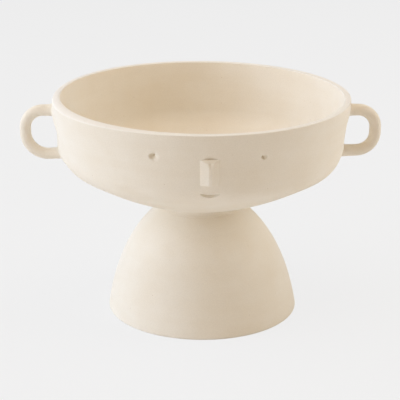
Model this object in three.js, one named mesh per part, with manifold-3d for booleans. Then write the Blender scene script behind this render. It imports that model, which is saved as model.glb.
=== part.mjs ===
// Decorative bowl with a face on a hollow pedestal, made of fired clay pieces joined with slip.
// Millimetres, +Z up, origin at the centre of the foot, face towards -Y, handles at -X and +X.
import * as THREE from 'three';
import { ConvexGeometry } from 'three/addons/geometries/ConvexGeometry.js';
import { mergeVertices } from 'three/addons/utils/BufferGeometryUtils.js';
import Module from 'manifold-3d';

const wasm = await Module();
wasm.setup();

const degrees = Math.PI / 180;

// Bowl
const rimRadius = 115;
const bowlHeight = 85; // seat to the crest of the lip
const bowlWall = 5.2;
const lipRound = 1.3; // both edges of the flat lip
const sideHeight = 41; // crest of the lip down to the shoulder
const sideLean = 7.8 * degrees; // the side leans in, going down
const shoulderRadius = 20.5;
const shoulderSlope = 30.7 * degrees; // slope of the underside where the shoulder ends, from level
const shoulderPull = 28; // how far the underside holds that slope
const seatSlope = 9 * degrees; // slope of the underside at the seat, from level
const seatPull = 28;
const seatRadius = 27; // the seat and the pedestal's crown are equally wide

// Foot ring under the bowl, which drops into the opening in the pedestal's crown
const footRingRadius = 18;
const footRingWall = 5;
const footRingDepth = 4;
const footRingClearance = 0.6;

// Pedestal
const pedestalHeight = 88;
const pedestalWall = 6;
const footRadius = 75.1;
const footRound = 2; // outer edge of the foot
const footChamfer = 1; // inner edge of the foot
const footLean = 9.3 * degrees; // lean of the dome above the foot, from upright
const footPull = 38.9; // how far the dome holds that lean
const crownSlope = 31.6 * degrees; // slope of the dome below the crown, from level
const crownPull = 31;

// Slip joints
const neckSlip = 1;
const neckSlipInset = 0.6; // the ring stays back from the edge of the seat
const handleSlip = 0.8;
const handleSlipLap = 0.9; // the pads spread this far past the coil
const noseSlip = 0.5;
const jointGap = 0.3; // left on both sides of a slip pad whose faces curve or lean

// Handles, two coils bent to a U
const handleThickness = 9;
const handleReach = 25.7; // rim to the outermost point of the loop
const handleDrop = 13.1; // crest of the lip down to the centre line of the upper leg
const handleBend = 13.8; // radius of the centre line in both bends
const handleGrip = 5.5; // straight run between the bends

// Face, set by hand and so a little off the middle
const faceShift = 1.2; // nose and mouth, to the right
const eyeTilt = 0.7; // left eye up and right eye down
const eyeSpacing = 79.4;
const eyeDrop = 18.5; // crest of the lip down to the eyes
const eyeWidth = 5.2;
const eyeDepth = 2.4;
const noseDrop = 18.7; // crest of the lip down to the top of the nose
const noseHeight = 20;
const noseTopWidth = 15.6;
const noseBottomWidth = 13.6;
const noseTopProjection = 2.6; // ridge in front of the wall, below the sloping top
const noseTipProjection = 2.4; // ridge in front of the wall, at the lower end
const noseRidgeWidth = 1.6;
const noseTopSlope = 3.2; // height of the sloping top
const nosePocketDepth = 2;
const browWidth = 13.4; // scooped cut over the nose
const browHeight = 2.8;
const browDepth = 1.2;
const mouthDrop = 45.2; // crest of the lip down to the corners of the mouth
const mouthWidth = 14.2;
const mouthSag = 1.8;
const mouthLine = 2.4;
const mouthDepth = 1.5;

// Facets
const turnedSteps = 60;
const curveSteps = 9;
const roundSteps = 6;
const coilSides = 12;
const coilSteps = 40;

// Heights and radii that follow from the sizes above
const seatHeight = pedestalHeight + neckSlip;
const crestHeight = seatHeight + bowlHeight;
const shoulderHeight = crestHeight - sideHeight;
const crownOpening = footRingRadius + footRingClearance;
const lipWidth = (bowlWall - 2 * lipRound) / Math.cos(sideLean); // flat part
const lipOutside = new THREE.Vector2(rimRadius - lipRound, crestHeight - lipRound);
const lipInside = new THREE.Vector2(lipOutside.x - lipWidth, lipOutside.y);
const sideTop = onCircle(lipOutside, lipRound, -sideLean);
const shoulderTop = new THREE.Vector2(sideRadius(shoulderHeight), shoulderHeight);
const shoulderCentre = onCircle(shoulderTop, -shoulderRadius, -sideLean);

function onCircle(centre, radius, angle) {
  return new THREE.Vector2(Math.cos(angle), Math.sin(angle)).multiplyScalar(radius).add(centre);
}

function arcPoints(centre, radius, from, to) {
  const points = [];
  for (let i = 0; i <= roundSteps; i += 1) {
    points.push(onCircle(centre, radius, from + ((to - from) * i) / roundSteps));
  }
  return points;
}

// Radius of the straight side's outer face at a height
function sideRadius(height) {
  return sideTop.x - (sideTop.y - height) * Math.tan(sideLean);
}

// Radius and lean of the bowl's outer face at a height, on the side or on the shoulder
function outerFace(height) {
  if (height >= shoulderHeight) {
    return { radius: sideRadius(height), lean: sideLean };
  }
  const lean = Math.asin((shoulderCentre.y - height) / shoulderRadius);
  return { radius: shoulderCentre.x + shoulderRadius * Math.cos(lean), lean };
}

// A curve's points, each moved by a distance along the normal on the curve's right-hand side
function offsetCurve(curve, distance) {
  const points = [];
  for (let i = 0; i <= curveSteps; i += 1) {
    const along = curve.getTangent(i / curveSteps);
    const normal = new THREE.Vector2(along.y, -along.x);
    points.push(curve.getPoint(i / curveSteps).addScaledVector(normal, distance));
  }
  return points;
}

// The bowl's outer face from the seat up to the lip, moved outwards by a distance
function bowlSide(distance) {
  const shoulderEnd = onCircle(shoulderCentre, shoulderRadius, shoulderSlope - Math.PI / 2);
  const seatEdge = new THREE.Vector2(seatRadius, seatHeight);
  const underside = new THREE.CubicBezierCurve(
    seatEdge,
    onCircle(seatEdge, seatPull, seatSlope),
    onCircle(shoulderEnd, -shoulderPull, shoulderSlope),
    shoulderEnd,
  );
  const shoulder = arcPoints(
    shoulderCentre,
    shoulderRadius + distance,
    shoulderSlope - Math.PI / 2,
    -sideLean,
  );
  return [...offsetCurve(underside, distance), ...shoulder.slice(1)];
}

function turned(points) {
  return new THREE.LatheGeometry(points, turnedSteps).rotateX(Math.PI / 2);
}

// Boolean cuts
function solid(geometry) {
  const bare = new THREE.BufferGeometry();
  bare.setAttribute('position', geometry.getAttribute('position'));
  bare.setIndex(geometry.index);
  const merged = mergeVertices(bare);
  const vertProperties = merged.getAttribute('position').array;
  const triVerts = new Uint32Array(merged.index.array);
  return new wasm.Manifold(new wasm.Mesh({ numProp: 3, vertProperties, triVerts }));
}

function geometryOf(body) {
  const { vertProperties, triVerts } = body.getMesh();
  const geometry = new THREE.BufferGeometry();
  geometry.setAttribute('position', new THREE.BufferAttribute(vertProperties, 3));
  geometry.setIndex(new THREE.BufferAttribute(triVerts, 1));
  geometry.computeVertexNormals();
  return geometry;
}

// The bowl's outer form, filled, with its face moved outwards: it trims what is joined to the wall
function wallTrimmer(distance) {
  const side = bowlSide(distance);
  const top = onCircle(sideTop, distance, -sideLean);
  return solid(turned([
    new THREE.Vector2(0, side[0].y),
    ...side,
    top,
    new THREE.Vector2(top.x, crestHeight + handleThickness),
    new THREE.Vector2(0, crestHeight + handleThickness),
  ]));
}

// Moves a cutter or piece from its own frame to the outer face: x across, -y outwards, z up the wall
function ontoFace(geometry, height, azimuth = 0) {
  const { radius, lean } = outerFace(height);
  return geometry.rotateX(lean).translate(0, -radius, height).rotateZ(azimuth);
}

// Azimuth at which the nose and the mouth sit, at a height
function faceTurn(height) {
  return faceShift / outerFace(height).radius;
}

// How far the round wall falls back from its tangent plane at a distance to the side
function fallBack(radius, across) {
  return radius - Math.sqrt(radius ** 2 - across ** 2);
}

// Face cuts
function eyePit(side) {
  const height = crestHeight - eyeDrop - side * eyeTilt;
  const azimuth = Math.asin(eyeSpacing / 2 / outerFace(height).radius);
  const ballRadius = ((eyeWidth / 2) ** 2 + eyeDepth ** 2) / (2 * eyeDepth);
  const ball = new THREE.SphereGeometry(ballRadius, 16, 12).translate(0, eyeDepth - ballRadius, 0);
  return solid(ontoFace(ball, height, side * azimuth));
}

function mouthCut() {
  const height = crestHeight - mouthDrop;
  const toolRadius = mouthLine / 2;
  const endDepth = fallBack(outerFace(height).radius, mouthWidth / 2) - toolRadius;
  const middleDepth = mouthDepth - toolRadius;
  const path = new THREE.QuadraticBezierCurve3(
    new THREE.Vector3(-mouthWidth / 2, endDepth, 0),
    new THREE.Vector3(0, 2 * middleDepth - endDepth, -2 * mouthSag),
    new THREE.Vector3(mouthWidth / 2, endDepth, 0),
  );
  const tool = new THREE.Shape().absarc(0, 0, toolRadius, 0, 2 * Math.PI);
  const options = { extrudePath: path, steps: 16, curveSegments: 4 };
  return solid(ontoFace(new THREE.ExtrudeGeometry(tool, options), height, faceTurn(height)));
}

const noseFoot = crestHeight - noseDrop - noseHeight * Math.cos(sideLean);

function browCut() {
  const scoop = new THREE.SphereGeometry(1, 20, 12);
  scoop.scale(browWidth / 2, browDepth, browHeight).translate(0, 0, noseHeight);
  return solid(ontoFace(scoop, noseFoot, faceTurn(noseFoot)));
}

// Corners of the nose's outline between two depths in the wall, grown all round
function noseCorners(depths, grown) {
  const corners = [];
  for (const depth of depths) {
    for (const side of [-1, 1]) {
      corners.push(new THREE.Vector3(side * (noseTopWidth / 2 + grown), depth, noseHeight + grown));
      corners.push(new THREE.Vector3(side * (noseBottomWidth / 2 + grown), depth, -grown));
    }
  }
  return corners;
}

function nosePocket() {
  const corners = noseCorners([nosePocketDepth, -nosePocketDepth], jointGap);
  return solid(ontoFace(new ConvexGeometry(corners), noseFoot, faceTurn(noseFoot)));
}

// Pieces
function bowl() {
  const outside = bowlSide(0);
  const inside = bowlSide(-bowlWall).reverse();
  const lip = [
    ...arcPoints(lipOutside, lipRound, -sideLean, Math.PI / 2),
    ...arcPoints(lipInside, lipRound, Math.PI / 2, Math.PI - sideLean),
  ];
  const footRingHole = footRingRadius - footRingWall;
  const body = solid(turned([
    new THREE.Vector2(0, seatHeight),
    new THREE.Vector2(footRingHole, seatHeight),
    new THREE.Vector2(footRingHole, seatHeight - footRingDepth),
    new THREE.Vector2(footRingRadius, seatHeight - footRingDepth),
    new THREE.Vector2(footRingRadius, seatHeight),
    ...outside,
    ...lip,
    ...inside,
    new THREE.Vector2(0, inside.at(-1).y),
  ]));
  const cuts = [eyePit(-1), eyePit(1), mouthCut(), browCut(), nosePocket()];
  return geometryOf(cuts.reduce((left, cut) => left.subtract(cut), body));
}

function pedestal() {
  const footCentre = new THREE.Vector2(footRadius - footRound, footRound);
  const footEdge = arcPoints(footCentre, footRound, -Math.PI / 2, footLean);
  const domeFoot = footEdge.at(-1);
  const crownEdge = new THREE.Vector2(seatRadius, pedestalHeight);
  const dome = new THREE.CubicBezierCurve(
    domeFoot,
    onCircle(domeFoot, footPull, Math.PI / 2 + footLean),
    onCircle(crownEdge, crownPull, -crownSlope),
    crownEdge,
  );
  const inside = offsetCurve(dome, -pedestalWall).reverse();
  const innerFoot = new THREE.Vector2(inside.at(-1).x + footChamfer, 0);
  return turned([
    innerFoot,
    ...footEdge,
    ...offsetCurve(dome, 0).slice(1),
    new THREE.Vector2(crownOpening, pedestalHeight),
    new THREE.Vector2(crownOpening, inside[0].y),
    ...inside,
    innerFoot,
  ]);
}

function neckSlipRing() {
  const outer = seatRadius - neckSlipInset;
  const lowerInner = new THREE.Vector2(crownOpening, pedestalHeight);
  return turned([
    lowerInner,
    new THREE.Vector2(outer, pedestalHeight),
    new THREE.Vector2(outer, seatHeight),
    new THREE.Vector2(crownOpening, seatHeight),
    lowerInner,
  ]);
}

// Handle centre line, both legs starting inside the bowl so that the wall trims them
const upperLegHeight = crestHeight - handleDrop;
const lowerLegHeight = upperLegHeight - 2 * handleBend - handleGrip;
const legStart = rimRadius - shoulderRadius - bowlWall;
const bendStart = rimRadius + handleReach - handleThickness / 2 - handleBend;

class HandlePath extends THREE.Curve {
  getPoint(t, target = new THREE.Vector3()) {
    const leg = bendStart - legStart;
    const bend = (handleBend * Math.PI) / 2;
    let run = t * (2 * leg + 2 * bend + handleGrip);
    if (run < leg) {
      return target.set(legStart + run, 0, upperLegHeight);
    }
    run -= leg;
    if (run < bend) {
      const turn = run / handleBend;
      const drop = handleBend * (1 - Math.cos(turn));
      return target.set(bendStart + handleBend * Math.sin(turn), 0, upperLegHeight - drop);
    }
    run -= bend;
    if (run < handleGrip) {
      return target.set(bendStart + handleBend, 0, upperLegHeight - handleBend - run);
    }
    run -= handleGrip;
    if (run < bend) {
      const turn = run / handleBend;
      const rise = handleBend * (1 - Math.sin(turn));
      return target.set(bendStart + handleBend * Math.cos(turn), 0, lowerLegHeight + rise);
    }
    return target.set(bendStart - (run - bend), 0, lowerLegHeight);
  }
}

function handle() {
  const section = new THREE.Shape().absarc(0, 0, handleThickness / 2, 0, 2 * Math.PI);
  const options = { extrudePath: new HandlePath(), steps: coilSteps, curveSegments: coilSides / 2 };
  const coil = solid(new THREE.ExtrudeGeometry(section, options));
  return geometryOf(coil.subtract(wallTrimmer(handleSlip + 2 * jointGap)));
}

function handleSlipPad(height) {
  const radius = handleThickness / 2 + handleSlipLap;
  const length = bendStart - legStart;
  const disc = new THREE.CylinderGeometry(radius, radius, length, coilSides);
  disc.rotateZ(Math.PI / 2).translate(legStart + length / 2, 0, height);
  const pad = solid(disc).intersect(wallTrimmer(jointGap + handleSlip));
  return geometryOf(pad.subtract(wallTrimmer(jointGap)));
}

function nose() {
  const back = nosePocketDepth - 2 * jointGap - noseSlip;
  const edge = fallBack(outerFace(noseFoot).radius, noseTopWidth / 2);
  const corners = noseCorners([back, edge], 0);
  for (const side of [-1, 1]) {
    const across = (side * noseRidgeWidth) / 2;
    corners.push(new THREE.Vector3(across, -noseTopProjection, noseHeight - noseTopSlope));
    corners.push(new THREE.Vector3(across, -noseTipProjection, 0));
  }
  return ontoFace(new ConvexGeometry(corners), noseFoot, faceTurn(noseFoot));
}

function noseSlipBed() {
  const back = nosePocketDepth - jointGap;
  const bed = new ConvexGeometry(noseCorners([back, back - noseSlip], 0));
  return ontoFace(bed, noseFoot, faceTurn(noseFoot));
}

// Assembly
const bisque = { color: 0xe6dbc8, roughness: 0.85, metalness: 0 };
const slip = { color: 0xe0d3bd, roughness: 0.9, metalness: 0 };

function piece(name, geometry, clay) {
  const mesh = new THREE.Mesh(geometry, new THREE.MeshStandardMaterial(clay));
  mesh.name = name;
  return mesh;
}

const decorativeBowl = new THREE.Group();
decorativeBowl.add(
  piece('pedestal', pedestal(), bisque),
  piece('neck_slip_ring', neckSlipRing(), slip),
  piece('bowl', bowl(), bisque),
  piece('nose_slip_bed', noseSlipBed(), slip),
  piece('nose', nose(), bisque),
);

for (const [side, turn] of [['left', Math.PI], ['right', 0]]) {
  const ear = new THREE.Group();
  ear.rotation.z = turn;
  ear.add(
    piece(`${side}_handle`, handle(), bisque),
    piece(`${side}_upper_handle_slip`, handleSlipPad(upperLegHeight), slip),
    piece(`${side}_lower_handle_slip`, handleSlipPad(lowerLegHeight), slip),
  );
  decorativeBowl.add(ear);
}

export default decorativeBowl;
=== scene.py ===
import math
import bmesh
import bpy
from mathutils import Matrix, Vector, noise
from mathutils.geometry import interpolate_bezier


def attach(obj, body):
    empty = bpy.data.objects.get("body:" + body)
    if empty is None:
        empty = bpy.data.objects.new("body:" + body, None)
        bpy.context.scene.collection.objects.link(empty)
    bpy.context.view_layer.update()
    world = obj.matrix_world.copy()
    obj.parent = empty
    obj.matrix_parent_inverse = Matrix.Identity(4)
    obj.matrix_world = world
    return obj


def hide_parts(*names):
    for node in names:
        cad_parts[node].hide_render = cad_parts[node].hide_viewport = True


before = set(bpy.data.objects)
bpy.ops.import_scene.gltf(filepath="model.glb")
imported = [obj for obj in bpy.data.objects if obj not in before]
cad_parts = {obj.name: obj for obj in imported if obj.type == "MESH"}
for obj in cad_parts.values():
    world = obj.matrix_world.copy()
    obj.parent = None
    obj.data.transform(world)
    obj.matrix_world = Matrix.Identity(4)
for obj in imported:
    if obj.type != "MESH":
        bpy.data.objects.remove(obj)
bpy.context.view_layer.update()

scene = bpy.context.scene
scene.view_settings.view_transform = "Standard"
mm = 0.001  # every piece is drawn in millimetres and brought to metres at the end

# camera, with its place and lens fitted to the photograph
cameraLook = {
    "place": (-47.19, -1080.86, 454.86),
    "lookDown": 18.753,
    "turn": -2.448,
    "roll": 0.172,
    "lens": 130.19,
    "sensor": 36,
    "clip": (0.05, 30),  # metres
}


def makeCamera():
    look = cameraLook
    photoLens = bpy.data.cameras.new("photoCamera")
    photoLens.sensor_width = look["sensor"]
    photoLens.lens = look["lens"]
    photoLens.clip_start, photoLens.clip_end = look["clip"]
    photoCamera = bpy.data.objects.new("photoCamera", photoLens)
    turn = Matrix.Rotation(math.radians(look["turn"]), 4, "Z")
    tilt = Matrix.Rotation(math.radians(90 - look["lookDown"]), 4, "X")
    roll = Matrix.Rotation(math.radians(look["roll"]), 4, "Z")
    place = Matrix.Translation(Vector(look["place"]) * mm)
    photoCamera.matrix_world = place @ turn @ tilt @ roll
    scene.collection.objects.link(photoCamera)
    scene.camera = photoCamera


makeCamera()
print("camera placed")


# nodes: a value that is another node's output is linked, and any other is set on the socket
def feed(tree, socket, value):
    if isinstance(value, bpy.types.NodeSocket):
        tree.links.new(value, socket)
    else:
        socket.default_value = value


def addNode(tree, kind, **settings):
    node = tree.nodes.new(kind)
    for key, value in settings.items():
        if hasattr(node, key):
            setattr(node, key, value)
        else:
            feed(tree, node.inputs[key.replace("_", " ")], value)
    return node


def calculate(tree, operation, first, second):
    node = addNode(tree, "ShaderNodeMath", operation=operation)
    feed(tree, node.inputs[0], first)
    feed(tree, node.inputs[1], second)
    return node.outputs[0]


def rescale(tree, value, before, after=(0.0, 1.0), **settings):
    node = addNode(
        tree, "ShaderNodeMapRange", Value=value, From_Min=before[0], From_Max=before[1],
        To_Min=after[0], To_Max=after[1], **settings)
    return node.outputs["Result"]


mixSockets = {"FLOAT": (2, 3, 0), "RGBA": (6, 7, 2)}  # the two inputs and the output of each kind of mix


def mix(tree, kind, share, under, over, **settings):
    node = addNode(tree, "ShaderNodeMix", data_type=kind, **settings)
    first, second, result = mixSockets[kind]
    feed(tree, node.inputs[0], share)
    feed(tree, node.inputs[first], under)
    feed(tree, node.inputs[second], over)
    return node.outputs[result]


def upwards(tree, vector):
    return addNode(tree, "ShaderNodeSeparateXYZ", Vector=vector).outputs["Z"]


# soft light: broad windows on both sides, a ceiling lamp, and a room that glows from the left and the front
lampLook = {
    "leftWindow": {
        "place": (-1.690, 0.059, 0.736),
        "size": 1.9,
        "watts": 11.3,
        "colour": (0.633, 0.765, 1.0),
    },
    "leftFrontWindow": {
        "place": (-1.646, -0.535, 0.616),
        "size": 1.9,
        "watts": 8.25,
        "colour": (1.0, 0.982, 0.915),
    },
    "rightWindow": {
        "place": (1.663, 0.146, 0.794),
        "size": 1.6,
        "watts": 18.6,
        "colour": (1.0, 0.981, 0.950),
    },
    "ceilingLamp": {
        "place": (0.0, 0.0, 1.92),
        "size": 1.6,
        "watts": 13.85,
        "colour": (1.0, 0.832, 0.641),
    },
}
lampAim = Vector((0, 0, 0.1))  # near the bowl's seat, in metres
roomLook = {
    "leftGlow": (1.011, 1.106, 1.247),  # strongest straight to that side, none a quarter turn away
    "frontGlow": (0.316, 0.169, 0.0),
    "backdrop": (0.863, 0.863, 0.863),
    "floor": (0.93, 0.93, 0.93),
    "floorSeen": (0.878, 0.880, 0.884),
    "floorShade": 0.10,  # how much of the floor's own shading the camera sees
    "floorReach": 6,
}


def makeLamps():
    for name, look in lampLook.items():
        bulb = bpy.data.lights.new(name, "AREA")
        bulb.shape = "SQUARE"
        bulb.size = look["size"]
        bulb.energy = look["watts"]
        bulb.color = look["colour"]
        lamp = bpy.data.objects.new(name, bulb)
        lamp.location = look["place"]
        aim = lampAim - lamp.location
        lamp.rotation_euler = aim.to_track_quat("-Z", "Y").to_euler()
        scene.collection.objects.link(lamp)


# 1 for the rays that show the stage itself, straight or by way of gloss or glass
def seenDirectly(tree):
    path = addNode(tree, "ShaderNodeLightPath")
    seen = path.outputs["Is Camera Ray"]
    for kind in ("Is Glossy Ray", "Is Transmission Ray"):
        seen = calculate(tree, "MAXIMUM", seen, path.outputs[kind])
    return seen


def chooseSurface(tree, outputKind, share, lit, seen):
    choice = addNode(tree, "ShaderNodeMixShader")
    for socket, value in zip(choice.inputs, (share, lit, seen)):
        feed(tree, socket, value)
    addNode(tree, outputKind, Surface=choice.outputs[0])


def glowFrom(tree, way, colour):
    share = calculate(tree, "MAXIMUM", calculate(tree, "MULTIPLY", way, -1), 0)
    glow = addNode(tree, "ShaderNodeBackground", Color=(*colour, 1), Strength=share)
    return glow.outputs[0]


def makeRoom():
    room = bpy.data.worlds.new("paleRoom")
    room.use_nodes = True
    tree = room.node_tree
    tree.nodes.clear()
    direction = addNode(tree, "ShaderNodeTexCoord").outputs["Generated"]
    way = addNode(tree, "ShaderNodeSeparateXYZ", Vector=direction)
    glow = addNode(tree, "ShaderNodeAddShader")
    feed(tree, glow.inputs[0], glowFrom(tree, way.outputs["X"], roomLook["leftGlow"]))
    feed(tree, glow.inputs[1], glowFrom(tree, way.outputs["Y"], roomLook["frontGlow"]))
    backdrop = addNode(tree, "ShaderNodeBackground", Color=(*roomLook["backdrop"], 1))
    chooseSurface(tree, "ShaderNodeOutputWorld", seenDirectly(tree), glow.outputs[0], backdrop.outputs[0])
    scene.world = room


def makeFloor():
    paint = bpy.data.materials.new("paleFloorPaint")
    paint.use_nodes = True
    tree = paint.node_tree
    tree.nodes.clear()
    shaded = addNode(tree, "ShaderNodeBsdfDiffuse", Color=(*roomLook["floor"], 1))
    flat = addNode(tree, "ShaderNodeEmission", Color=(*roomLook["floorSeen"], 1))
    share = calculate(tree, "MULTIPLY", seenDirectly(tree), 1 - roomLook["floorShade"])
    chooseSurface(tree, "ShaderNodeOutputMaterial", share, shaded.outputs[0], flat.outputs[0])
    bm = bmesh.new()
    bmesh.ops.create_grid(bm, x_segments=2, y_segments=2, size=roomLook["floorReach"])
    mesh = bpy.data.meshes.new("paleFloor")
    bm.to_mesh(mesh)
    bm.free()
    mesh.materials.append(paint)
    floor = bpy.data.objects.new("paleFloor", mesh)
    scene.collection.objects.link(floor)


makeLamps()
makeRoom()
makeFloor()
print("lamps, room and floor ready")

# fired clay without glaze: pale cream with warm clouds, faint smoothing bands, fine tooth, few iron specks
bisqueLook = {
    "specular": 0.15,
    "pale": (0.888, 0.839, 0.752),
    "warm": (0.862, 0.799, 0.694),
    "warmRange": (0.36, 0.66),  # where the noise turns from pale to warm
    "clouds": {"Scale": 34, "Detail": 4.0, "Roughness": 0.55},
    "bands": {"Scale": 1.0, "Detail": 3.0, "Roughness": 0.5},
    "bandsPerMetre": (16, 16, 150),
    "bandShare": 0.25,
    # painted highlight: a paler colour for the lip's upward-facing top, masked by height and by how far the
    # face turns up
    "paintedLipLight": (0.905, 0.875, 0.820),
    "paintedLipLightHeight": (0.1685, 0.1705),  # metres, up to the lip
    "paintedLipLightFacing": (0.2, 0.6),
    "grain": {"Scale": 1500, "Detail": 2.0, "Roughness": 0.6},
    "grainRange": (0.25, 0.75),
    "grainTone": (0.955, 1.03),
    "speck": (0.50, 0.38, 0.26),
    "specksPerMetre": 230,
    "speckEdge": (0.045, 0.085),  # shares of a cell
    "speckStrength": 0.55,
    "speckless": 0.87,  # share of the cells that have no speck
    "ribRange": (0.3, 0.7),
    "roughness": (0.80, 0.93),
    "poresPerMetre": 675,
    "poreWidth": 0.22,
    "poreShare": 0.35,
    "tooth": 0.00003,
}
slipLook = dict(bisqueLook, pale=(0.884, 0.833, 0.745), warm=(0.858, 0.794, 0.688), tooth=0.00005)


def makeClay(name, look):
    clay = bpy.data.materials.new(name)
    clay.use_nodes = True
    tree = clay.node_tree
    shader = tree.nodes["Principled BSDF"]
    feed(tree, shader.inputs["Specular IOR Level"], look["specular"])
    feed(tree, shader.inputs["Metallic"], 0)
    coordinates = addNode(tree, "ShaderNodeTexCoord")
    place = coordinates.outputs["Object"]

    # clouds of warmer clay, and faint level bands left by the smoothing rib
    clouds = addNode(tree, "ShaderNodeTexNoise", Vector=place, **look["clouds"]).outputs["Fac"]
    stretch = addNode(tree, "ShaderNodeMapping", Vector=place, Scale=look["bandsPerMetre"])
    level = stretch.outputs["Vector"]
    bands = addNode(tree, "ShaderNodeTexNoise", Vector=level, **look["bands"]).outputs["Fac"]
    warmth = rescale(tree, mix(tree, "FLOAT", look["bandShare"], clouds, bands), look["warmRange"])
    colour = mix(tree, "RGBA", warmth, (*look["pale"], 1), (*look["warm"], 1))

    # painted light: the lip's upward-facing top is painted paler, a painted highlight where the light from
    # above falls on it
    shares = []
    for source, key in ((place, "paintedLipLightHeight"), (coordinates.outputs["Normal"], "paintedLipLightFacing")):
        shares.append(rescale(tree, upwards(tree, source), look[key], interpolation_type="SMOOTHSTEP"))
    paintedLipLightShare = calculate(tree, "MULTIPLY", *shares)
    colour = mix(tree, "RGBA", paintedLipLightShare, colour, (*look["paintedLipLight"], 1))

    # fine grain of the clay
    grain = addNode(tree, "ShaderNodeTexNoise", Vector=place, **look["grain"]).outputs["Fac"]
    grainTone = rescale(tree, grain, look["grainRange"], look["grainTone"])
    colour = mix(tree, "RGBA", 1, colour, grainTone, blend_type="MULTIPLY")

    # iron specks, in about one cell of eight
    cells = addNode(tree, "ShaderNodeTexVoronoi", Vector=place, Scale=look["specksPerMetre"])
    dot = rescale(tree, cells.outputs["Distance"], look["speckEdge"], (look["speckStrength"], 0.0))
    lot = addNode(tree, "ShaderNodeSeparateColor", Color=cells.outputs["Color"]).outputs["Red"]
    few = calculate(tree, "GREATER_THAN", lot, look["speckless"])
    specks = calculate(tree, "MULTIPLY", dot, few)
    colour = mix(tree, "RGBA", specks, colour, (*look["speck"], 1))
    feed(tree, shader.inputs["Base Color"], colour)

    # dry surface, a little smoother where the rib pressed harder
    feed(tree, shader.inputs["Roughness"], rescale(tree, bands, look["ribRange"], look["roughness"]))

    # tooth: grain and pin pores
    pores = addNode(tree, "ShaderNodeTexVoronoi", Vector=place, Scale=look["poresPerMetre"])
    poreDepth = rescale(tree, pores.outputs["Distance"], (0.0, look["poreWidth"]))
    relief = mix(tree, "FLOAT", look["poreShare"], grain, poreDepth)
    tooth = addNode(tree, "ShaderNodeBump", Strength=1.0, Distance=look["tooth"], Height=relief)
    feed(tree, shader.inputs["Normal"], tooth.outputs["Normal"])
    return clay


bisqueClay = makeClay("bisqueClay", bisqueLook)
slipClay = makeClay("slipClay", slipLook)
print("clay mixed")


def vertsOf(geom):
    return [part for part in geom if isinstance(part, bmesh.types.BMVert)]


def edgesOf(geom):
    return [part for part in geom if isinstance(part, bmesh.types.BMEdge)]


# a profile is drawn as a wire in the plane y = 0, x being the radius, and is then turned about z
def startWire(bm, radius, height):
    return bmesh.ops.create_vert(bm, co=(radius, 0, height))["vert"][0]


def lineTo(bm, tip, radius, height, cuts=0):
    step = (Vector((radius, 0, height)) - tip.co) / (cuts + 1)
    for _ in range(cuts + 1):
        tip = bmesh.ops.extrude_vert_indiv(bm, verts=[tip])["verts"][0]
        bmesh.ops.translate(bm, vec=step, verts=[tip])
    return tip


def curveTo(bm, tip, points):
    for radius, height in points:
        tip = lineTo(bm, tip, radius, height)
    return tip


def arcTo(bm, tip, centre, degrees, steps):
    made = bmesh.ops.spin(
        bm, geom=[tip], cent=(centre[0], 0, centre[1]), axis=(0, -1, 0),
        angle=math.radians(degrees), steps=steps)
    return vertsOf(made["geom_last"])[0]


def turnWire(bm, steps, mergeWithin=0.001):
    bmesh.ops.spin(
        bm, geom=bm.verts[:] + bm.edges[:], cent=(0, 0, 0), axis=(0, 0, 1),
        angle=2 * math.pi, steps=steps, use_merge=True)
    bmesh.ops.remove_doubles(bm, verts=bm.verts[:], dist=mergeWithin)
    bmesh.ops.recalc_face_normals(bm, faces=bm.faces[:])


def polar(centre, radius, degrees):
    angle = math.radians(degrees)
    return (centre[0] + radius * math.cos(angle), centre[1] + radius * math.sin(angle))


def bezier(start, startPull, endPull, end, count):
    points = [Vector((*p, 0)) for p in (start, startPull, endPull, end)]
    return [(p.x, p.y) for p in interpolate_bezier(*points, count)]


# points moved to the right of the way they run, as a wall's other face is
def moved(points, distance):
    result = []
    for i, (radius, height) in enumerate(points):
        before, after = points[max(i - 1, 0)], points[min(i + 1, len(points) - 1)]
        along = Vector((after[0] - before[0], after[1] - before[1])).normalized()
        result.append((radius + along.y * distance, height - along.x * distance))
    return result


# from 0 at the low value to 1 at the high one, level at both
def smoothStep(low, high, value):
    t = min(max((value - low) / (high - low), 0), 1)
    return t * t * (3 - 2 * t)


# a soft hump, 1 at its middle
def hump(value, middle, width):
    return math.exp(-(((value - middle) / width) ** 2))


# hand-smoothed clay: shallow swells, always inwards so that the piece keeps its size
smoothingLook = {
    "least": 0.03,
    "levelBelow": 1.2,  # the foot stays flat
    "seedStride": (3.7, 1.9, 2.3),
}


def smoothByHand(bm, depth, width, seed):
    bm.normal_update()
    offset = Vector([seed * stride for stride in smoothingLook["seedStride"]])
    for vert in bm.verts:
        if vert.co.z < smoothingLook["levelBelow"]:
            continue
        swell = 0.5 + 0.5 * noise.noise(vert.co / width + offset)
        vert.co -= vert.normal * (smoothingLook["least"] + depth * swell)


def finishPiece(bm, name, clay, nodes, sharpAbove=38):
    bmesh.ops.scale(bm, vec=(mm, mm, mm), verts=bm.verts[:])
    mesh = bpy.data.meshes.new(name)
    bm.to_mesh(mesh)
    bm.free()
    mesh.shade_smooth()
    mesh.set_sharp_from_angle(angle=math.radians(sharpAbove))
    mesh.materials.append(clay)
    piece = bpy.data.objects.new(name, mesh)
    scene.collection.objects.link(piece)
    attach(piece, "root")
    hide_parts(*nodes)
    print(name, "made with", len(mesh.polygons), "faces")
    return piece


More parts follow.
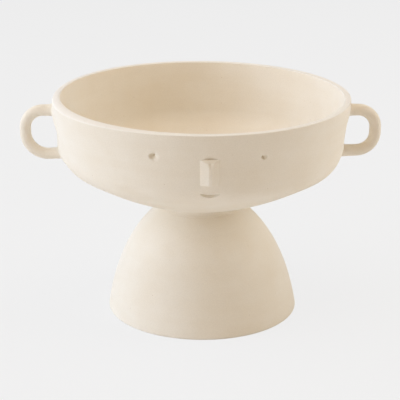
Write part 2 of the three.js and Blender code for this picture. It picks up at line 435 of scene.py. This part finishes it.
# bowl
bowlLook = {
    "rimRadius": 115.0,
    "crest": 174.0,
    "wall": 5.2,
    "lipRound": 0.8,
    "lipSteps": 7,
    "sideHeight": 41.0,
    "sideLean": 7.8,
    "sideRows": 9,
    "shoulderRadius": 20.5,
    "shoulderSlope": 30.7,
    "shoulderPull": 28.0,
    "shoulderSteps": 8,
    "seatRadius": 27.0,
    "seatHeight": 89.0,
    "seatSlope": 9.0,
    "seatPull": 28.0,
    "undersidePoints": 22,
    "footRing": (13.0, 18.0, 4.0),  # inner radius, outer radius, depth
    "floorDish": ((21.0, 0.35), (14.0, 0.5), (7.0, 0.55), (0.0, 0.55)),  # radius, and how much lower
    "columns": 192,
    "handSwell": 0.10,
    "swellWidth": 26.0,
    "seed": 1,
    "rimDip": {"from": 156.0, "middle": -0.6, "right": -0.5, "back": -0.3},
    "shoulderSag": {
        "left": 0.3,
        "right": 0.9,
        "begins": (88.0, 108.0),
        "ends": (132.0, 154.0),
        "across": (0.25, 0.9),  # shares of the rim's radius
    },
    "lipSwell": {"depth": 1.6, "left": 0.87, "front": 0.5, "power": 2},
    "lipFall": {"depth": 2.2, "left": 0.97, "front": 0.25, "power": 3, "fade": 1.5},
    "rootSwell": {
        "heights": (161.2, 127.5),
        "between": (105.0, 171.0),
        "fadesFrom": 164.0,
        "power": 4,
        "left": {"depth": 2.2, "width": 15.0},
        "right": {"depth": 1.9, "width": 13.0},
    },
}
lipRound = bowlLook["lipRound"]
lipFlat = (bowlLook["wall"] - 2 * lipRound) / math.cos(math.radians(bowlLook["sideLean"]))
lipOutside = (bowlLook["rimRadius"] - lipRound, bowlLook["crest"] - lipRound)
lipInside = (lipOutside[0] - lipFlat, lipOutside[1])
sideTop = polar(lipOutside, lipRound, -bowlLook["sideLean"])
sideTan = math.tan(math.radians(bowlLook["sideLean"]))
shoulderHeight = bowlLook["crest"] - bowlLook["sideHeight"]
shoulderTop = (sideTop[0] - (sideTop[1] - shoulderHeight) * sideTan, shoulderHeight)
shoulderCentre = polar(shoulderTop, -bowlLook["shoulderRadius"], -bowlLook["sideLean"])
steepestDrop = 0.95  # share of the shoulder's radius; farther down the lean stays the same


# radius and lean of the bowl's outer face at a height, on the side or the shoulder
def outerFace(height):
    if height >= shoulderHeight:
        return sideTop[0] - (sideTop[1] - height) * sideTan, math.radians(bowlLook["sideLean"])
    drop = min((shoulderCentre[1] - height) / bowlLook["shoulderRadius"], steepestDrop)
    lean = math.asin(drop)
    return shoulderCentre[0] + bowlLook["shoulderRadius"] * math.cos(lean), lean


# marks pressed into the soft wall by hand, in millimetres, a little off the middle
faceLook = {
    "eyes": (
        {
            "across": -39.45,
            "height": 156.2,
            "radius": 2.7,
            "depth": 3.3,
            "drag": 1.2,
            "dragSide": 1,
            "dragReach": 5.8,
        },
        {
            "across": 40.2,
            "height": 154.6,
            "radius": 2.4,
            "depth": 2.6,
            "drag": 0.6,
            "dragSide": -1,
            "dragReach": 4.6,
        },
    ),
    "eyeEdge": (0.02, 1.04),  # shares of the pit's radius
    "dragEdge": (0.2, 1.0),  # shares of the drag's reach
    "eyeMiddle": 0.01,  # nearer to a pit's middle the drag fades out
    "eyeBurr": {"height": 0.10, "at": 1.25, "width": 0.2},
    "shift": 1.2,
    "noseFoot": 135.0,
    "noseHeight": 20.5,
    "browShift": 1.0,
    "browHalfWidth": 7.0,
    "browHeight": 6.0,
    "browDepth": 1.3,
    "browBehindNose": 1.2,
    "browFall": 2,  # how much faster it ends behind the nose
    "mouthShift": 0.5,
    "mouthHeight": 128.8,
    "mouthHalfWidth": 7.3,
    "mouthSag": 2.4,
    "mouthHalfLine": 1.45,
    "mouthCorner": 0.3,  # share of the line's width that is left at the corners
    "mouthEdge": (0.25, 1.1),  # shares of the line's half width
    "mouthDepth": 3.2,
    "mouthLift": 0.25,  # the tool lifts towards the right corner
    "mouthLiftAcross": (-0.1, 1),
    "mouthBurr": {"height": 0.32, "at": 1.7, "width": 0.6},
    "skin": 1.5,  # what lies deeper belongs to the inner face
    "patchHeights": (121.0, 166.0),
    "nosePatch": {"halfWidth": 11.0, "top": 163.0},
    "eyePatch": {"across": 40.6, "height": 155.8, "half": 6.5},
    "patchCuts": 14,
    "markHeights": (119.0, 168.0),
    "marksHalfWidth": 52.0,
}


# a round pit, with the clay dragged to one side where the tool came out
def eyeDepthAt(across, height):
    burr = faceLook["eyeBurr"]
    depth = 0
    for eye in faceLook["eyes"]:
        radius, lean = outerFace(eye["height"])
        sideways = across - math.asin(eye["across"] / radius) * radius
        away = math.hypot(sideways, (height - eye["height"]) / math.cos(lean))
        depth += eye["depth"] * (1 - smoothStep(*faceLook["eyeEdge"], away / eye["radius"]))
        dragWay = max(sideways * eye["dragSide"] / max(away, faceLook["eyeMiddle"]), 0)
        depth += eye["drag"] * dragWay * (1 - smoothStep(*faceLook["dragEdge"], away / eye["dragReach"]))
        depth -= burr["height"] * (1 - dragWay) * hump(away / eye["radius"], burr["at"], burr["width"])
    return depth


# a scoop that deepens down to the top of the nose
def browDepthAt(across, height):
    _, lean = outerFace(faceLook["noseFoot"])
    rise = (height - faceLook["noseFoot"]) / math.cos(lean) - faceLook["noseHeight"]
    if rise < 0:
        rise = faceLook["browFall"] * max(-rise - faceLook["browBehindNose"], 0)
    sideways = (across - faceLook["browShift"]) / faceLook["browHalfWidth"]
    share = 1 - sideways ** 2 - rise / faceLook["browHeight"]
    return faceLook["browDepth"] * max(share, 0) ** 2


# a sagging stroke, with the clay that it pushed up lying above it
def mouthDepthAt(across, height):
    share = (across - faceLook["mouthShift"]) / faceLook["mouthHalfWidth"]
    if abs(share) >= 1:
        return 0
    _, lean = outerFace(faceLook["mouthHeight"])
    middle = -faceLook["mouthSag"] * (1 - share ** 2)
    rise = (height - faceLook["mouthHeight"]) / math.cos(lean) - middle
    fullness = math.sqrt(1 - share ** 2)
    corner, burr = faceLook["mouthCorner"], faceLook["mouthBurr"]
    lightHand = 1 - faceLook["mouthLift"] * smoothStep(*faceLook["mouthLiftAcross"], share)
    away = rise / (faceLook["mouthHalfLine"] * (corner + (1 - corner) * fullness))
    groove = faceLook["mouthDepth"] * (1 - smoothStep(*faceLook["mouthEdge"], abs(away)))
    pushedUp = burr["height"] * hump(away, burr["at"], burr["width"])
    return (groove * lightHand - pushedUp) * fullness ** 2


# the wall gets finer faces where the marks are, and then the marks
def cutFace(bm):
    look, nosePatch, eyePatch = faceLook, faceLook["nosePatch"], faceLook["eyePatch"]
    low, high = look["patchHeights"]
    patch = set()
    for face in bm.faces:
        middle = face.calc_center_median()
        reach = math.hypot(middle.x, middle.y)
        if not low < middle.z < high or middle.y > 0 or reach < outerFace(middle.z)[0] - look["skin"]:
            continue
        across = math.atan2(middle.x, -middle.y) * reach
        onNose = abs(across - look["shift"]) < nosePatch["halfWidth"] and middle.z < nosePatch["top"]
        besideEye = abs(abs(across) - eyePatch["across"])
        onEye = besideEye < eyePatch["half"] and abs(middle.z - eyePatch["height"]) < eyePatch["half"]
        if onNose or onEye:
            patch.add(face)
    edges = [edge for edge in bm.edges if not patch.isdisjoint(edge.link_faces)]
    bmesh.ops.subdivide_edges(bm, edges=edges, cuts=look["patchCuts"], use_grid_fill=True)
    low, high = look["markHeights"]
    for vert in bm.verts:
        if not low < vert.co.z < high or vert.co.y > 0:
            continue
        radius, lean = outerFace(vert.co.z)
        reach = math.hypot(vert.co.x, vert.co.y)
        turn = math.atan2(vert.co.x, -vert.co.y)
        across = turn * radius
        if reach < radius - look["skin"] or abs(across) > look["marksHalfWidth"]:
            continue
        depth = eyeDepthAt(across, vert.co.z)
        across -= look["shift"]
        depth += browDepthAt(across, vert.co.z) + mouthDepthAt(across, vert.co.z)
        reach = radius - depth * math.cos(lean)
        height = vert.co.z + depth * math.sin(lean)
        vert.co = (reach * math.sin(turn), -reach * math.cos(turn), height)


# the rim dips to the right and the back, the shoulder sags a little on both sides,
# and at the left the lip is thicker inside and lower outside
def leanByHand(bm):
    look = bowlLook
    dip, sag = look["rimDip"], look["shoulderSag"]
    swell, fall = look["lipSwell"], look["lipFall"]
    for vert in bm.verts:
        across, back = vert.co.x / look["rimRadius"], vert.co.y / look["rimRadius"]
        rim = smoothStep(dip["from"], look["crest"], vert.co.z)
        shoulder = smoothStep(*sag["begins"], vert.co.z) * (1 - smoothStep(*sag["ends"], vert.co.z))
        shoulder *= smoothStep(*sag["across"], abs(across))
        vert.co.z += rim * (dip["middle"] + dip["right"] * across + dip["back"] * back)
        vert.co.z -= shoulder * sag["right" if across > 0 else "left"]
        reach = math.hypot(vert.co.x, vert.co.y)
        inward = look["rimRadius"] - reach
        if rim > 0 and inward > look["wall"] / 2 + sideTan * (look["crest"] - vert.co.z):
            thick = max(-swell["left"] * across - swell["front"] * back, 0) ** swell["power"]
            vert.co.xy *= 1 - rim * swell["depth"] * thick / reach
        elif rim > 0:
            worn = max(-fall["left"] * across - fall["front"] * back, 0) ** fall["power"]
            vert.co.z -= rim * fall["depth"] * worn * max(1 - inward / look["wall"], 0) ** fall["fade"]


# the wall swells a little where the ends of the handles are pressed on
def swellRoots(bm):
    roots = bowlLook["rootSwell"]
    low, high = roots["between"]
    for vert in bm.verts:
        reach = math.hypot(vert.co.x, vert.co.y)
        if not low < vert.co.z < high or reach < outerFace(vert.co.z)[0] - bowlLook["wall"] / 2:
            continue
        own = roots["right" if vert.co.x > 0 else "left"]
        belowLip = 1 - smoothStep(roots["fadesFrom"], high, vert.co.z)
        for height in roots["heights"]:
            away = math.hypot(vert.co.y, vert.co.z - height) / own["width"]
            swell = own["depth"] * belowLip * math.exp(-away ** roots["power"])
            vert.co.x += math.copysign(swell, vert.co.x)


def makeBowl():
    look = bowlLook
    hole, ring, ringDepth = look["footRing"]
    seat = (look["seatRadius"], look["seatHeight"])
    ringHeight = seat[1] - ringDepth
    shoulderEnd = polar(shoulderCentre, look["shoulderRadius"], look["shoulderSlope"] - 90)
    sweep = 90 - look["shoulderSlope"] - look["sideLean"]
    underside = bezier(
        seat, polar(seat, look["seatPull"], look["seatSlope"]),
        polar(shoulderEnd, -look["shoulderPull"], look["shoulderSlope"]), shoulderEnd,
        look["undersidePoints"])
    inside = moved(underside, -look["wall"])
    bm = bmesh.new()
    tip = startWire(bm, 0, seat[1])
    tip = curveTo(bm, tip, [(hole, seat[1]), (hole, ringHeight), (ring, ringHeight), (ring, seat[1]), seat])
    tip = curveTo(bm, tip, underside[1:])
    tip = arcTo(bm, tip, shoulderCentre, sweep, look["shoulderSteps"])
    tip = lineTo(bm, tip, *sideTop, cuts=look["sideRows"])
    tip = arcTo(bm, tip, lipOutside, 90 + look["sideLean"], look["lipSteps"])
    tip = lineTo(bm, tip, lipInside[0], look["crest"], cuts=1)
    tip = arcTo(bm, tip, lipInside, 90 - look["sideLean"], look["lipSteps"])
    innerTop = polar(shoulderCentre, look["shoulderRadius"] - look["wall"], -look["sideLean"])
    tip = lineTo(bm, tip, *innerTop, cuts=look["sideRows"])
    tip = arcTo(bm, tip, shoulderCentre, -sweep, look["shoulderSteps"])
    tip = curveTo(bm, tip, inside[-2::-1])
    curveTo(bm, tip, [(radius, inside[0][1] - lower) for radius, lower in look["floorDish"]])
    turnWire(bm, look["columns"])
    cutFace(bm)
    swellRoots(bm)
    leanByHand(bm)
    smoothByHand(bm, look["handSwell"], look["swellWidth"], look["seed"])
    return finishPiece(bm, "bowlBody", bisqueClay, ["bowl"])


makeBowl()

# pedestal
pedestalLook = {
    "height": 88.0,
    "wall": 6.0,
    "footRadius": 74.9,
    "footShift": 1.0,
    "footRound": 2.0,
    "footSteps": 6,
    "footChamfer": 1.0,  # on the inner edge
    "footLean": 9.3,
    "footPull": 38.9,
    "crownRadius": 27.0,
    "crownSlope": 31.6,
    "crownPull": 31.0,
    "crownOpening": 18.6,
    "domePoints": 34,
    "columns": 160,
    "handSwell": 0.14,
    "swellWidth": 24.0,
    "seed": 2,
}


def makePedestal():
    look = pedestalLook
    footCentre = (look["footRadius"] - look["footRound"], look["footRound"])
    domeFoot = polar(footCentre, look["footRound"], look["footLean"])
    crown = (look["crownRadius"], look["height"])
    dome = bezier(
        domeFoot, polar(domeFoot, look["footPull"], 90 + look["footLean"]),
        polar(crown, look["crownPull"], -look["crownSlope"]), crown, look["domePoints"])
    inside = moved(dome, -look["wall"])
    bm = bmesh.new()
    tip = first = startWire(bm, inside[0][0] + look["footChamfer"], 0)
    tip = lineTo(bm, tip, footCentre[0], 0)
    tip = arcTo(bm, tip, footCentre, 90 + look["footLean"], look["footSteps"])
    tip = curveTo(bm, tip, dome[1:])
    tip = lineTo(bm, tip, look["crownOpening"], look["height"])
    tip = lineTo(bm, tip, look["crownOpening"], inside[-1][1])
    tip = curveTo(bm, tip, inside[::-1])
    bm.edges.new((tip, first))
    turnWire(bm, look["columns"])
    for vert in bm.verts:  # thrown a little off the middle
        vert.co.x += look["footShift"] * (1 - vert.co.z / look["height"])
    smoothByHand(bm, look["handSwell"], look["swellWidth"], look["seed"])
    return finishPiece(bm, "pedestalDome", bisqueClay, ["pedestal"])


makePedestal()

# slip smoothed into the notch between the bowl and the pedestal, hollow like a fingertip's track
neckLook = {
    "inner": 18.8,
    "low": 88.2,
    "high": 88.8,
    "underside": ((26.0, 87.4), (32.4, 84.2)),
    "topside": ((33.4, 90.5), (26.0, 89.5)),
    "trackCentre": (34.1, 87.2),
    "trackRadius": 3.04,
    "trackFrom": 238.4,  # degrees
    "trackSweep": -138.9,
    "trackSteps": 12,
    "columns": 120,
    "sharpAbove": 60,
}


def makeNeckSeam():
    look = neckLook
    bm = bmesh.new()
    tip = first = startWire(bm, look["inner"], look["low"])
    tip = curveTo(bm, tip, look["underside"])
    tip = lineTo(bm, tip, *polar(look["trackCentre"], look["trackRadius"], look["trackFrom"]))
    tip = arcTo(bm, tip, look["trackCentre"], look["trackSweep"], look["trackSteps"])
    tip = curveTo(bm, tip, look["topside"])
    tip = lineTo(bm, tip, look["inner"], look["high"])
    bm.edges.new((tip, first))
    turnWire(bm, look["columns"])
    return finishPiece(bm, "neckSeam", slipClay, ["neck_slip_ring"], look["sharpAbove"])


makeNeckSeam()

# nose, a wedge of clay let into the wall; x across, -y outwards, z up the wall
noseLook = {
    "left": {"top": 7.3, "bottom": 6.8, "ridge": 0.6},
    "right": {"top": 6.5, "bottom": 6.6, "ridge": 1.4},
    "topProud": 3.0,
    "tipProud": 2.8,
    "topSlope": 2.6,
    "tipRise": 1.1,
    "sunk": 1.6,
    "backTaper": 0.3,
    "backDrop": 1.0,
    "flatWithin": 0.01,
    "ridgeProud": 1.0,  # the ridge stands out by more than this
    "ridgeLength": 5.0,  # its edges down the nose fall by more than this
    "ridgeAbove": 10.0,  # and its edges back to the wall lie higher than this
    "ridgeRound": 0.3,
    "ridgeSteps": 3,
    "tipBand": 0.2,
    "tipEdgeProud": 0.5,
    "tipRound": 0.6,
    "tipSteps": 4,
    "dent": (0.6, -3.0, 17.3),  # its middle
    "dentRadius": 2.4,
    "dentDepth": 1.4,
    "cuts": 6,
    "sharpAbove": 24,
}


def roundEdges(bm, edges, radius, steps):
    bmesh.ops.bevel(
        bm, geom=edges, offset=radius, offset_type="OFFSET", affect="EDGES",
        segments=steps, profile=0.5, material=-1, clamp_overlap=True)


def onRidge(edge):
    a, b = (vert.co for vert in edge.verts)
    proud = -noseLook["ridgeProud"]
    if max(a.y, b.y) < proud:
        return abs(a.z - b.z) > noseLook["ridgeLength"]
    return min(a.y, b.y) < proud and min(a.z, b.z) > noseLook["ridgeAbove"]


def onTip(edge):
    a, b = (vert.co for vert in edge.verts)
    low = max(a.z, b.z) < noseLook["tipRise"] + noseLook["tipBand"]
    return low and min(a.y, b.y) < -noseLook["tipEdgeProud"]


def makeNose():
    look = noseLook
    high = faceLook["noseHeight"]
    radius, lean = outerFace(faceLook["noseFoot"])
    edgeBack = radius - math.sqrt(radius ** 2 - look["left"]["top"] ** 2)
    bm = bmesh.new()
    for side, own in ((-1, look["left"]), (1, look["right"])):
        for across, back, up in (
            (own["top"], edgeBack, high),
            (own["top"] - look["backTaper"], look["sunk"], high - look["backDrop"]),
            (own["bottom"], edgeBack, 0),
            (own["bottom"], look["sunk"], 0),
            (own["ridge"], -look["topProud"], high - look["topSlope"]),
            (own["ridge"], -look["tipProud"], look["tipRise"]),
        ):
            bmesh.ops.create_vert(bm, co=(side * across, back, up))
    bmesh.ops.convex_hull(bm, input=bm.verts[:])
    bmesh.ops.dissolve_limit(bm, angle_limit=look["flatWithin"], verts=bm.verts[:], edges=bm.edges[:])
    roundEdges(bm, [edge for edge in bm.edges if onRidge(edge)], look["ridgeRound"], look["ridgeSteps"])
    roundEdges(bm, [edge for edge in bm.edges if onTip(edge)], look["tipRound"], look["tipSteps"])
    bmesh.ops.triangulate(bm, faces=bm.faces[:])
    bmesh.ops.subdivide_edges(bm, edges=bm.edges[:], cuts=look["cuts"], use_grid_fill=True)
    for vert in bm.verts:  # a dent where the tool met the top of the ridge
        away = (vert.co - Vector(look["dent"])).length / look["dentRadius"]
        vert.co.y += look["dentDepth"] * (1 - smoothStep(0, 1, away))
    turn = Matrix.Rotation(faceLook["shift"] / radius, 4, "Z")
    foot = Matrix.Translation((0, -radius, faceLook["noseFoot"]))
    place = turn @ foot @ Matrix.Rotation(lean, 4, "X")
    bmesh.ops.transform(bm, matrix=place, verts=bm.verts[:])
    bmesh.ops.recalc_face_normals(bm, faces=bm.faces[:])
    nodes = ["nose", "nose_slip_bed"]
    return finishPiece(bm, "noseWedge", bisqueClay, nodes, look["sharpAbove"])


makeNose()

# handles, each a round coil bent by hand to a U and pressed to the wall,
# the lower arm falling or rising to its root
handleLook = {
    "upperRoot": 110.8,
    "lowerRoot": 105.2,
    "flare": 0.2,
    "flareLength": 5.0,
    "taper": 1.06,
    "sides": 36,
    "upperSteps": 20,
    "bendSteps": 16,
    "gripSteps": 3,
    "lowerSteps": 28,
    "handSwell": 0.12,
    "swellWidth": 9.0,
    "left": {
        "thickness": 9.0,
        "reach": 25.66,
        "drop": 11.9,
        "upperBend": 13.7,
        "grip": 3.5,
        "lowerBend": 17.6,
        "fall": -3.0,
        "seed": 3,
    },
    "right": {
        "thickness": 9.3,
        "reach": 25.3,
        "drop": 13.6,
        "upperBend": 13.8,
        "grip": 4.3,
        "lowerBend": 14.5,
        "fall": 2.0,
        "seed": 4,
    },
}


def pushRing(bm, edges, way, steps, growth=1):
    grown = growth ** (1 / steps)
    for _ in range(steps):
        made = bmesh.ops.extrude_edge_only(bm, edges=edges)["geom"]
        edges, verts = edgesOf(made), vertsOf(made)
        bmesh.ops.translate(bm, vec=Vector(way) / steps, verts=verts)
        middle = sum((vert.co for vert in verts), Vector()) / len(verts)
        aroundMiddle = Matrix.Translation(-middle)
        bmesh.ops.scale(bm, vec=(grown, grown, grown), space=aroundMiddle, verts=verts)
    return edges


def bendRing(bm, edges, centre, degrees, steps):
    verts = list(dict.fromkeys(vert for edge in edges for vert in edge.verts))
    made = bmesh.ops.spin(
        bm, geom=verts + edges, cent=centre, axis=(0, 1, 0),
        angle=math.radians(degrees), steps=steps)
    return edgesOf(made["geom_last"])


def makeHandle(name, side):
    look = handleLook
    own = look[side]
    fall = math.radians(own["fall"])
    outermost = bowlLook["rimRadius"] + own["reach"] - own["thickness"] / 2
    upper = bowlLook["crest"] - own["drop"]
    upperCentre = (outermost - own["upperBend"], 0, upper - own["upperBend"])
    lowerCentre = (outermost - own["lowerBend"], 0, upperCentre[2] - own["grip"])
    armStart = Vector(lowerCentre) + own["lowerBend"] * Vector((math.sin(fall), 0, -math.cos(fall)))
    upperRun = upperCentre[0] - look["upperRoot"]
    armRun = armStart.x - look["lowerRoot"]
    bm = bmesh.new()
    thick = own["thickness"] / 2 * look["taper"]
    ring = bmesh.ops.create_circle(bm, radius=thick, segments=look["sides"])["verts"]
    bmesh.ops.rotate(bm, cent=(0, 0, 0), matrix=Matrix.Rotation(math.pi / 2, 3, "Y"), verts=ring)
    bmesh.ops.translate(bm, vec=(look["upperRoot"], 0, upper), verts=ring)
    edges = pushRing(bm, bm.edges[:], (upperRun, 0, 0), look["upperSteps"], 1 / look["taper"])
    edges = bendRing(bm, edges, upperCentre, 90, look["bendSteps"])
    edges = pushRing(bm, edges, (0, 0, -own["grip"]), look["gripSteps"])
    edges = bendRing(bm, edges, lowerCentre, 90 - own["fall"], look["bendSteps"])
    pushRing(bm, edges, (-armRun, 0, -armRun * math.tan(fall)), look["lowerSteps"], look["taper"])
    bmesh.ops.holes_fill(bm, edges=[edge for edge in bm.edges if edge.is_boundary], sides=0)
    bmesh.ops.recalc_face_normals(bm, faces=bm.faces[:])
    smoothByHand(bm, look["handSwell"], look["swellWidth"], own["seed"])
    for vert in bm.verts:  # the clay spreads a little where the coil is pressed on
        if vert.co.x > min(upperCentre[0], armStart.x):
            continue
        radius, lean = outerFace(vert.co.z)
        away = (math.hypot(vert.co.x, vert.co.y) - radius) * math.cos(lean)
        axis = upper
        if vert.co.z < lowerCentre[2]:
            axis = armStart.z - (armStart.x - vert.co.x) * math.tan(fall)
        spread = 1 + look["flare"] * (1 - min(max(away, 0) / look["flareLength"], 1)) ** 2
        vert.co.y *= spread
        vert.co.z = axis + (vert.co.z - axis) * spread
    if side == "left":
        halfTurn = Matrix.Rotation(math.pi, 3, "Z")
        bmesh.ops.rotate(bm, cent=(0, 0, 0), matrix=halfTurn, verts=bm.verts[:])
    nodes = [f"{side}_handle", f"{side}_upper_handle_slip", f"{side}_lower_handle_slip"]
    return finishPiece(bm, name, bisqueClay, nodes)


makeHandle("leftHandleCoil", "left")
makeHandle("rightHandleCoil", "right")
